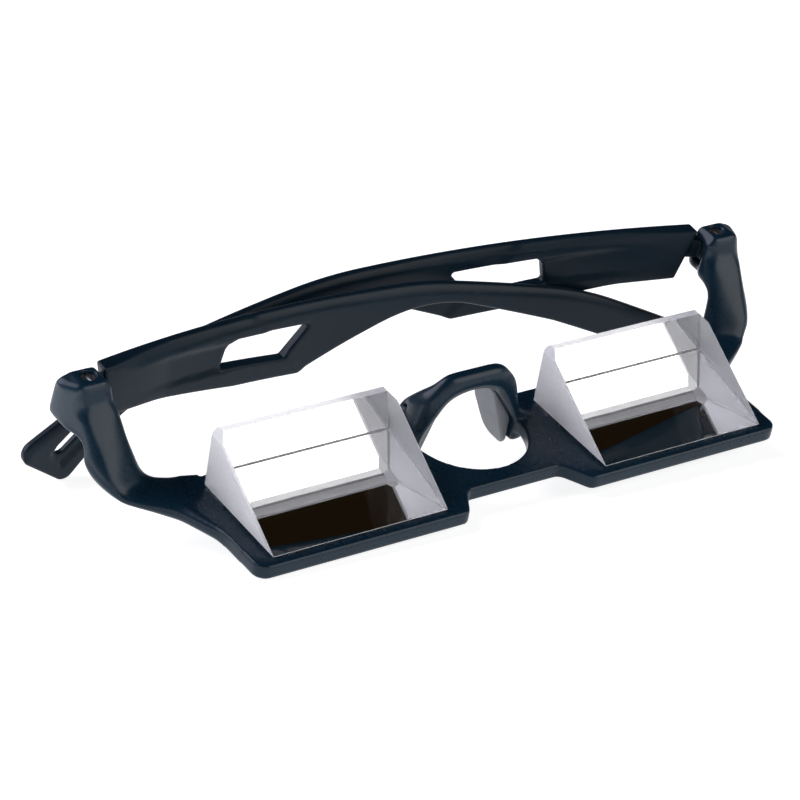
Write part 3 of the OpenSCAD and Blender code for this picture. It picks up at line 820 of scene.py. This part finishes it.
def insert_mesh():
    """A brass insert: a short tube with crossed knurling between two plain rims."""
    shape = Shape("knurled_insert", {
        "Diameter": 2.8, "Bore": 1.6, "Height": 1.5, "Knurl Depth": 0.12, "Knurl Pitch": 0.5, "Rim": 0.2})
    size, calc = shape.size, shape.calc
    height = calc("ADD", shape.z, calc("DIVIDE", size["Height"], 2.0))
    grooves = [calc("PINGPONG", helix_phase(shape, height, size["Knurl Pitch"], starts), 0.5)
               for starts in (14, -14)]
    depth = calc("MULTIPLY", calc("MAXIMUM", *grooves), calc("MULTIPLY", size["Knurl Depth"], 2.0))
    from_rim = calc("SUBTRACT", calc("DIVIDE", size["Height"], 2.0), calc("ABSOLUTE", shape.z))
    depth = calc("MULTIPLY", depth, calc("GREATER_THAN", from_rim, size["Rim"]))
    radius = calc("SUBTRACT", calc("DIVIDE", size["Diameter"], 2.0), depth)
    body = shape.turned_rod(radius, size["Height"], sides=112, rows=30)
    drill = shape.add("GeometryNodeMeshCylinder", {
        "Vertices": 48, "Radius": calc("DIVIDE", size["Bore"], 2.0),
        "Depth": calc("MULTIPLY", size["Height"], 1.5)}).outputs["Mesh"]
    return shape.mesh(shape.cut(body, drill), BRASS)


def hinge_hardware(side):
    """The slotted screw and the insert of one hinge, with the heights of their middles."""
    way_out = 1 if side == "left" else -1
    for name, node, mesh, height, material, slot in (
            ("slotted_screw_", "hinge_screw_", screw_mesh(), 11.325, STEEL, "screw_steel"),
            ("knurled_insert_", "thread_insert_", insert_mesh(), 8.4, BRASS, "insert_brass")):
        mesh.transform(Matrix.Translation((way_out * HINGE.x, HINGE.y, height)))
        publish(name + side, mesh, WORN, [material], BODY["front"], slot, node + side, smooth=False)


def dress_node(node, material):
    """A solid that keeps its shape gets only its material."""
    piece = nodes[node]
    piece.data.materials.clear()
    piece.data.materials.append(material)


front_moulding()
for side in ("left", "right"):
    temple(side)
    nose_pad(side)
prism("left", 1)
prism("right", -1)
for side in ("left", "right"):
    dress_node("mirror_coating_" + side, SILVERING)
    dress_node("prism_adhesive_" + side, ADHESIVE)
    hinge_hardware(side)


# Camera, from the photograph's own perspective, given in the worn frame

CAMERA_AT = Vector((-293.2, -320.4, 296.2))
CAMERA_FORWARD = Vector((0.5319, 0.6460, -0.5474))
CAMERA_UP = Vector((0.2057, 0.5286, 0.8236))
CAMERA_LENS = 148.05
CAMERA_SENSOR = 36


def camera():
    lens = bpy.data.cameras.new("photo_view")
    lens.lens = CAMERA_LENS
    lens.sensor_width = CAMERA_SENSOR
    lens.sensor_fit = "HORIZONTAL"
    lens.clip_start, lens.clip_end = 0.01, 30
    turn = WORN.to_3x3()
    forward = (turn @ CAMERA_FORWARD).normalized()
    right = forward.cross((turn @ CAMERA_UP).normalized()).normalized()
    up = right.cross(forward)
    facing = Matrix((right, up, -forward)).transposed().to_4x4()
    holder = bpy.data.objects.new("photo_view", lens)
    holder.matrix_world = Matrix.Translation(WORN @ CAMERA_AT) @ facing
    bpy.context.scene.collection.objects.link(holder)
    bpy.context.scene.camera = holder


camera()


# Floor and soft light

FLOOR_REACH = 6.0
# where its glow grows on the side of the wearer's right, and from how much to how much
FLOOR_GLOW = {"From Min": -0.09, "From Max": -0.15, "To Min": 0.85, "To Max": 3.2}

# the ceiling's colour, the horizon's, and between which heights they mix
CEILING, HORIZON = (0.008, 0.005, 0.0025), (0.3, 0.3, 0.31)
HORIZON_HEIGHTS = (0.12, 0.4)
# each window: its direction in the worn frame, how close to that it is full and how far it reaches
# (as cosines), and its colour
SOFT_WINDOWS = (((0.532, -0.646, 0.547), 0.95, 0.90, (3.1, 3.08, 3.05)),
                ((-0.54, 0.65, 0.52), 0.94, 0.84, (3.8, 3.8, 4.4)))


def floor():
    mesh = bpy.data.meshes.new("floor")
    corners = [(x * FLOOR_REACH, y * FLOOR_REACH, 0) for x, y in ((-1, -1), (1, -1), (1, 1), (-1, 1))]
    mesh.from_pydata(corners, [], [(0, 1, 2, 3)])
    n = Nodes("pale_floor")
    n.into("Base Color", (0.55, 0.55, 0.55, 1))
    n.into("Roughness", 0.9)
    n.into("Specular IOR Level", 0.0)
    n.into("Emission Color", (1, 1, 1, 1))
    across = n.add("ShaderNodeSeparateXYZ")
    n.link(n.place, across.inputs[0])
    glow = n.add("ShaderNodeMapRange", interpolation_type="SMOOTHSTEP")
    for socket, value in FLOOR_GLOW.items():
        glow.inputs[socket].default_value = value
    n.link(across.outputs["X"], glow.inputs["Value"])
    n.into("Emission Strength", glow.outputs["Result"])
    mesh.materials.append(n.material)
    piece = bpy.data.objects.new("floor", mesh)
    bpy.context.scene.collection.objects.link(piece)


def soft_light():
    """A bright low horizon under a dark brown ceiling, with two soft windows."""
    world = bpy.data.worlds.new("studio")
    bpy.context.scene.world = world
    world.use_nodes = True
    tree = world.node_tree
    background = tree.nodes["Background"]
    place = tree.nodes.new("ShaderNodeTexCoord").outputs["Generated"]
    turn = WORN.to_3x3()

    def add(kind, **settings):
        node = tree.nodes.new(kind)
        for key, value in settings.items():
            setattr(node, key, value)
        return node

    def ramped(value, low, high):
        node = add("ShaderNodeMapRange", interpolation_type="SMOOTHSTEP")
        node.inputs["From Min"].default_value, node.inputs["From Max"].default_value = low, high
        tree.links.new(value, node.inputs["Value"])
        return node.outputs["Result"]

    def mixed(share, a, b):
        node = add("ShaderNodeMix", data_type="RGBA")
        tree.links.new(share, node.inputs["Factor"])
        for socket, value in ((node.inputs[6], a), (node.inputs[7], b)):
            if isinstance(value, bpy.types.NodeSocket):
                tree.links.new(value, socket)
            else:
                socket.default_value = (*value, 1)
        return node.outputs[2]

    def towards(direction):
        node = add("ShaderNodeVectorMath", operation="DOT_PRODUCT")
        tree.links.new(place, node.inputs[0])
        node.inputs[1].default_value = (turn @ Vector(direction)).normalized()
        return node.outputs["Value"]

    height = add("ShaderNodeSeparateXYZ")
    tree.links.new(place, height.inputs[0])
    colour = mixed(ramped(height.outputs["Z"], *HORIZON_HEIGHTS), HORIZON, CEILING)
    for direction, full, reach, tint in SOFT_WINDOWS:
        colour = mixed(ramped(towards(direction), reach, full), colour, tint)
    tree.links.new(colour, background.inputs["Color"])
    background.inputs["Strength"].default_value = 1.0


floor()
soft_light()
bpy.context.scene.view_settings.view_transform = "Standard"
